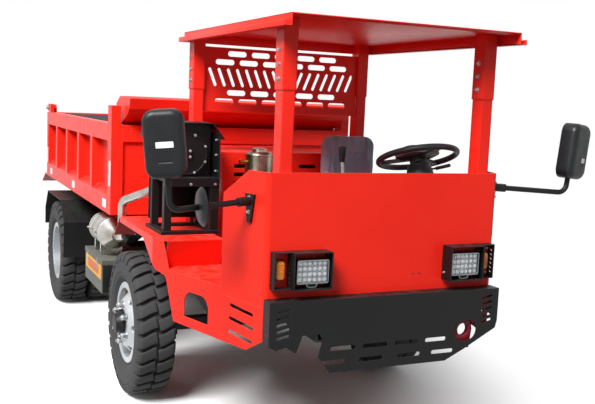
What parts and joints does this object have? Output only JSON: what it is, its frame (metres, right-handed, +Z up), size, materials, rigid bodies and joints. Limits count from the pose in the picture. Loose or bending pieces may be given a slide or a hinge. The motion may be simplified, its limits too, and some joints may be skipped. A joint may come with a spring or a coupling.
{
  "type": "mining dump truck",
  "caption": "Low open-cab mining dump truck with flat front tub, canopy, slotted bumper, twin rear wheels, ribbed tipping bed, top-hung tailgate and working steering.",
  "frame": {"origin": "on the ground under the middle of the truck's box", "axes": "+Y to the rear of the truck, +X to its left, +Z up"},
  "size_m": [2.2983, 5.081, 2.04],
  "materials": {
    "red_paint": "semi-gloss enamel",
    "black_paint": "satin powder coat",
    "tow_paint": "semi-gloss enamel",
    "silver_paint": "silver lacquer",
    "tyre_rubber": "matt moulded rubber",
    "lamp_glass": "clear lens",
    "amber_lens": "ribbed lens",
    "red_lens": "ribbed lens",
    "engine_iron": "cast and painted",
    "bare_steel": "rolled sheet",
    "hard_chrome": "ground and plated",
    "seat_fabric": "woven cloth",
    "black_plastic": "moulded grain"
  },
  "bodies": {
    "chassis": {"tub": "red_paint", "fenders": "red_paint", "decks": "red_paint", "cab_floor": "red_paint", "canopy_posts": "red_paint", "roof": "red_paint", "rear_screen": "red_paint", "engine_hood": "red_paint", "rails": "black_paint", "crossmembers": "black_paint", "front_axle": "black_paint", "rear_axle": "black_paint", "leaf_springs": "black_paint", "bumper": "black_paint", "lamp_boxes": "black_paint", "radiator_rack": "black_paint", "radiator": "black_paint", "drive_shaft": "black_paint", "seat_base": "black_paint", "steering_column": "black_paint", "rear_mudguards": "black_paint", "mirror_arms": "black_paint", "fuel_tank": "black_paint", "battery_box": "black_paint", "tow_hook": "tow_paint", "lamp_faces": "lamp_glass", "marker_lamps": "amber_lens", "tail_lamps": "red_lens", "engine": "engine_iron", "purifier": "bare_steel", "exhaust_pipe": "bare_steel", "oil_tank": "bare_steel", "gear_lever": "bare_steel", "seat_cushion": "seat_fabric", "seat_back": "seat_fabric", "mirror_heads": "black_plastic"},
    "knuckle_left": {"knuckle_left": "black_paint"},
    "knuckle_right": {"knuckle_right": "black_paint"},
    "tie_rod": {"tie_rod": "black_paint"},
    "steering_wheel": {"steering_wheel": "black_plastic"},
    "front_left_wheel": {"tyre_front_left": "tyre_rubber", "wheel_front_left": "silver_paint"},
    "front_right_wheel": {"tyre_front_right": "tyre_rubber", "wheel_front_right": "silver_paint"},
    "rear_left_wheels": {"tyres_rear_left": "tyre_rubber", "wheels_rear_left": "silver_paint"},
    "rear_right_wheels": {"tyres_rear_right": "tyre_rubber", "wheels_rear_right": "silver_paint"},
    "bed": {"bed_floor": "red_paint", "bed_sides": "red_paint", "bed_front_wall": "red_paint", "bed_visor": "red_paint", "bed_beams": "red_paint"},
    "tailgate": {"tailgate": "red_paint"},
    "hoist_barrels": {"hoist_barrels": "black_paint"},
    "hoist_rods": {"hoist_rods": "hard_chrome"}
  },
  "joints": [
    {"name": "steer_left", "type": "hinge", "parent": "chassis", "child": "knuckle_left", "pos_m": [0.612, -1.0655, 0.402], "axis": [0, 0, 1], "range_deg": [-32, 32]},
    {"name": "steer_right", "type": "hinge", "parent": "chassis", "child": "knuckle_right", "pos_m": [-0.612, -1.0655, 0.402], "axis": [0, 0, 1], "range_deg": [-32, 32]},
    {"name": "tie_rod_pivot", "type": "hinge", "parent": "knuckle_left", "child": "tie_rod", "pos_m": [0.612, -0.9005, 0.3], "axis": [0, 0, 1], "range_deg": [-32, 32]},
    {"name": "steering_wheel_turn", "type": "hinge", "parent": "chassis", "child": "steering_wheel", "pos_m": [0.333, -2.1095, 1.432], "axis": [0, 0.342, 0.9397], "range_deg": [-384, 384]},
    {"name": "front_left_spin", "type": "hinge", "parent": "knuckle_left", "child": "front_left_wheel", "pos_m": [0.793, -1.0655, 0.402], "axis": [1, 0, 0], "continuous": true},
    {"name": "front_right_spin", "type": "hinge", "parent": "knuckle_right", "child": "front_right_wheel", "pos_m": [-0.793, -1.0655, 0.402], "axis": [1, 0, 0], "continuous": true},
    {"name": "rear_left_spin", "type": "hinge", "parent": "chassis", "child": "rear_left_wheels", "pos_m": [0.813, 1.2465, 0.402], "axis": [1, 0, 0], "continuous": true},
    {"name": "rear_right_spin", "type": "hinge", "parent": "chassis", "child": "rear_right_wheels", "pos_m": [-0.813, 1.2465, 0.402], "axis": [1, 0, 0], "continuous": true},
    {"name": "bed_tip", "type": "hinge", "parent": "chassis", "child": "bed", "pos_m": [0, 1.8405, 0.842], "axis": [-1, 0, 0], "range_deg": [0, 50]},
    {"name": "tailgate_swing", "type": "hinge", "parent": "bed", "child": "tailgate", "pos_m": [0, 2.3055, 1.537], "axis": [1, 0, 0], "range_deg": [0, 75]},
    {"name": "hoist_tilt", "type": "hinge", "parent": "chassis", "child": "hoist_barrels", "pos_m": [0, -0.1595, 0.56], "axis": [1, 0, 0], "range_deg": [0, 24]},
    {"name": "hoist_stroke", "type": "slide", "parent": "hoist_barrels", "child": "hoist_rods", "axis": [0, 0.9599, 0.2803], "range_m": [0, 0.7]}
  ],
  "couplings": [
    {"joint": "steer_right", "follows": "steer_left", "ratio": 1},
    {"joint": "tie_rod_pivot", "follows": "steer_left", "ratio": -1},
    {"joint": "steering_wheel_turn", "follows": "steer_left", "ratio": 12},
    {"joint": "hoist_tilt", "follows": "bed_tip", "ratio": 0.42822},
    {"joint": "hoist_stroke", "follows": "bed_tip", "m_per_rad": 0.78266}
  ]
}
